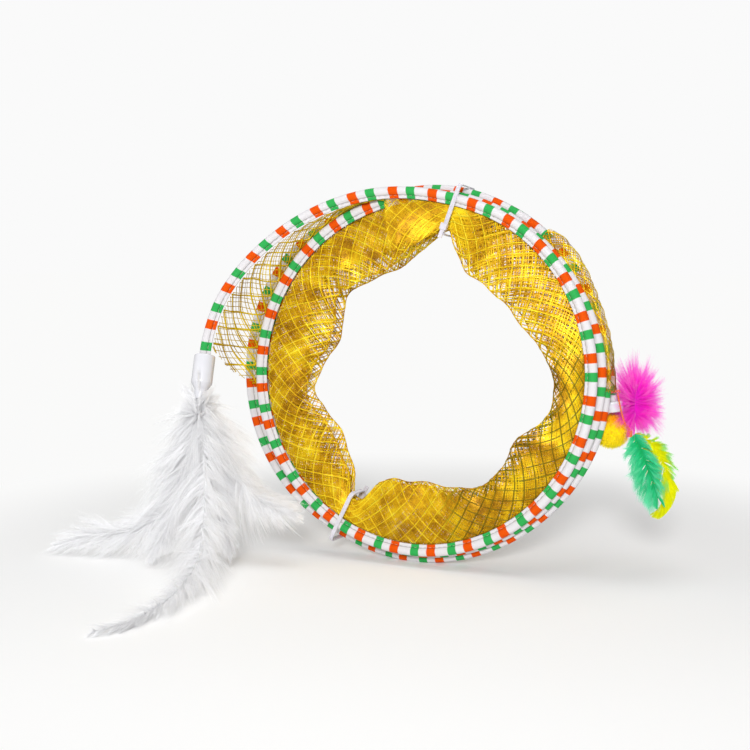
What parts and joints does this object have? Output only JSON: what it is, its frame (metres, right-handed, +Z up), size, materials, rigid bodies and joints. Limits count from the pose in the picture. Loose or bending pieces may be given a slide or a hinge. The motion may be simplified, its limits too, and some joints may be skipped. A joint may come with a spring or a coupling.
{
  "type": "cat tunnel",
  "caption": "Collapsible spiral cat tunnel folded flat: sprung wire in striped binding, gold netting, tied rings, a plumed wire end and a dangling feather toy.",
  "frame": {"origin": "on the small flat under the binding on which the folded tunnel stands on edge", "axes": "+Z up, +Y back along the tunnel away from the plumed front end, +X to the right seen from the front"},
  "size_m": [0.4061, 0.2445, 0.2485],
  "materials": {
    "binding_cloth": "woven binding with orange, white and green bands",
    "spring_steel": "bright drawn wire",
    "gold_netting": "shiny metallic-gold mesh",
    "tie_nylon": "translucent natural nylon",
    "socket_plastic": "glossy white",
    "white_plume": "soft white down",
    "orange_cord": "twisted orange thread",
    "yellow_plush": "short yellow pile",
    "pink_feather": "dyed pink barbs",
    "green_feather": "dyed green barbs",
    "yellow_feather": "dyed yellow barbs"
  },
  "bodies": {
    "coil": {"binding_tape": "binding_cloth", "spring_wire": "spring_steel", "net_front_sail": "gold_netting", "net_front_fold": "gold_netting", "net_back_fold": "gold_netting", "net_rear_sail": "gold_netting", "top_tie": "tie_nylon", "lower_tie": "tie_nylon", "front_socket": "socket_plastic", "plume_front": "white_plume", "plume_middle_left": "white_plume", "plume_left": "white_plume", "plume_middle_right": "white_plume", "plume_right": "white_plume"},
    "rear_end": {"rear_socket": "socket_plastic", "cord_loop": "orange_cord"},
    "toy": {"toy_cord": "orange_cord", "toy_ball": "yellow_plush", "feather_binding": "orange_cord", "feather_pink": "pink_feather", "feather_green": "green_feather", "feather_yellow": "yellow_feather"}
  },
  "joints": [
    {"name": "stretch", "type": "slide", "parent": "coil", "child": "rear_end", "axis": [0, 1, 0], "range_m": [0, 0.25], "deforming": ["binding_tape", "spring_wire", "net_front_sail", "net_front_fold", "net_back_fold", "net_rear_sail"]},
    {"name": "toy_swing", "type": "hinge", "parent": "rear_end", "child": "toy", "pos_m": [0.1272, 0.0116, 0.1176], "axis": [0, -1, 0], "range_deg": [0, 25]}
  ]
}
